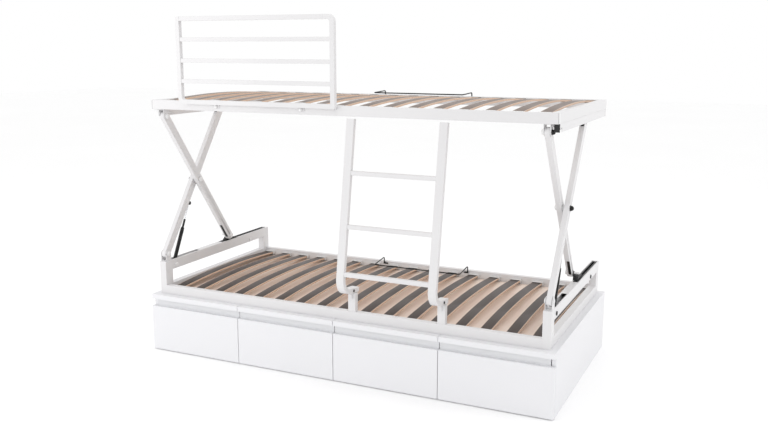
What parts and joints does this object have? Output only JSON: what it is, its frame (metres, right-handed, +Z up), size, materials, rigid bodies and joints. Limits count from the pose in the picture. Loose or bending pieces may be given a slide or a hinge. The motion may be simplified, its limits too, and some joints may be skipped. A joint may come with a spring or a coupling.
{
  "type": "fold-down bunk bed with drawer base",
  "caption": "Steel bunk whose upper slatted frame folds down on scissor arms onto a lower slatted frame standing on a long drawer base, with a guard rail and a ladder.",
  "frame": {"origin": "on the floor plane under the middle of the steel frames, on the underside of the middle cabinet divider", "axes": "+X along the length towards the ladder end, +Y from the drawer side to the back, +Z up"},
  "size_m": [1.96, 1.0371, 1.571],
  "materials": {
    "white_melamine": "satin white melamine-faced board",
    "white_powder_coat": "semi-gloss white powder coat",
    "lath_wood": "dark coated bent beech-ply lath with natural edges",
    "deck_wood": "natural plywood sheet",
    "white_plastic": "moulded white plastic",
    "black_plastic": "moulded black plastic",
    "black_steel": "black lacquered steel",
    "zinc_steel": "bright zinc-plated steel",
    "chrome_rod": "polished piston rod"
  },
  "bodies": {
    "root": {"cabinet_side_panels": "white_melamine", "cabinet_back_panel": "white_melamine", "cabinet_dividers": "white_melamine", "cabinet_top_panels": "white_melamine", "drawer_runner_rails": "zinc_steel", "lower_side_rails": "white_powder_coat", "lower_end_rails": "white_powder_coat", "front_corner_posts": "white_powder_coat", "rear_corner_posts": "white_powder_coat", "track_rails": "white_powder_coat", "track_liners": "black_plastic", "lower_pivot_clevises": "white_powder_coat", "lower_pivot_bolts": "black_steel", "lower_pivot_knobs": "white_plastic", "strut_pins": "black_plastic", "frame_bolt_caps": "white_plastic", "lower_laths": "lath_wood", "lower_lath_sockets": "white_plastic", "lower_deck_panel": "deck_wood", "lower_mattress_stop": "black_steel", "ladder_posts": "white_powder_coat"},
    "drawer_1": {"drawer_1_front": "white_melamine", "drawer_1_box": "white_melamine"},
    "drawer_2": {"drawer_2_front": "white_melamine", "drawer_2_box": "white_melamine"},
    "drawer_3": {"drawer_3_front": "white_melamine", "drawer_3_box": "white_melamine"},
    "drawer_4": {"drawer_4_front": "white_melamine", "drawer_4_box": "white_melamine"},
    "outer_arms": {"outer_arms": "white_powder_coat", "outer_arm_bolts": "black_steel", "mid_pivot_knobs": "white_plastic", "strut_brackets": "zinc_steel"},
    "inner_arms": {"inner_arms": "white_powder_coat", "foot_straps": "black_steel", "foot_axles": "white_plastic"},
    "track_shoes": {"track_shoes": "black_plastic"},
    "upper_rollers": {"upper_rollers": "black_plastic"},
    "strut_rods": {"strut_rods": "chrome_rod"},
    "strut_cylinders": {"strut_cylinders": "black_steel"},
    "upper_frame": {"upper_side_rails": "white_powder_coat", "upper_rail_caps": "white_plastic", "upper_end_rails": "white_powder_coat", "end_channels": "white_powder_coat", "channel_plugs": "black_plastic", "upper_pivot_brackets": "white_powder_coat", "upper_pivot_bolts": "black_steel", "upper_pivot_knobs": "white_plastic", "upper_laths": "lath_wood", "upper_lath_sockets": "white_plastic", "upper_mattress_stop": "black_steel", "guard_uprights": "white_powder_coat", "guard_bars": "white_powder_coat", "guard_hooks": "white_powder_coat", "guard_clamps": "white_powder_coat"},
    "ladder": {"ladder_stiles": "white_powder_coat", "ladder_rungs": "white_powder_coat", "ladder_pins": "black_steel"}
  },
  "joints": [
    {"name": "drawer_1_slide", "type": "slide", "parent": "root", "child": "drawer_1", "axis": [0, -1, 0], "range_m": [0, 0.5]},
    {"name": "drawer_2_slide", "type": "slide", "parent": "root", "child": "drawer_2", "axis": [0, -1, 0], "range_m": [0, 0.5]},
    {"name": "drawer_3_slide", "type": "slide", "parent": "root", "child": "drawer_3", "axis": [0, -1, 0], "range_m": [0, 0.5]},
    {"name": "drawer_4_slide", "type": "slide", "parent": "root", "child": "drawer_4", "axis": [0, -1, 0], "range_m": [0, 0.5]},
    {"name": "lift", "type": "hinge", "parent": "root", "child": "outer_arms", "pos_m": [0, -0.4215, 0.466], "axis": [-1, 0, 0], "range_deg": [0, 50.2], "stiffness_Nm_per_rad": 70, "springref_deg": -100.27},
    {"name": "cross", "type": "hinge", "parent": "outer_arms", "child": "inner_arms", "pos_m": [0, -0.18577, 0.79539], "axis": [-1, 0, 0], "range_deg": [-100.41, 0.01]},
    {"name": "level", "type": "hinge", "parent": "inner_arms", "child": "upper_frame", "pos_m": [0, -0.4215, 1.12478], "axis": [-1, 0, 0], "range_deg": [-0.01, 50.21]},
    {"name": "shoe_tilt", "type": "hinge", "parent": "inner_arms", "child": "track_shoes", "pos_m": [0, 0.04996, 0.466], "axis": [-1, 0, 0], "range_deg": [-0.01, 50.21]},
    {"name": "roller_spin", "type": "hinge", "parent": "outer_arms", "child": "upper_rollers", "pos_m": [0, 0.04996, 1.12478], "axis": [-1, 0, 0], "continuous": true},
    {"name": "strut_swing", "type": "hinge", "parent": "outer_arms", "child": "strut_rods", "pos_m": [0, -0.23165, 0.68059], "axis": [-1, 0, 0], "range_deg": [-0.622, 0.02]},
    {"name": "strut_stroke", "type": "slide", "parent": "strut_rods", "child": "strut_cylinders", "axis": [0, 0.4448, 0.8956], "range_m": [0, 0.07147]},
    {"name": "ladder_fold", "type": "hinge", "parent": "root", "child": "ladder", "pos_m": [0, -0.462, 0.4165], "axis": [1, 0, 0], "range_deg": [0, 84.85]}
  ],
  "couplings": [
    {"joint": "cross", "follows": "lift", "ratio": -2},
    {"joint": "level", "follows": "lift", "ratio": 1},
    {"joint": "shoe_tilt", "follows": "lift", "ratio": 1},
    {"joint": "strut_swing", "follows": "lift", "ratio": -0.012},
    {"joint": "strut_stroke", "follows": "lift", "m_per_rad": 0.081},
    {"joint": "ladder_fold", "follows": "lift", "ratio": 1.69}
  ]
}
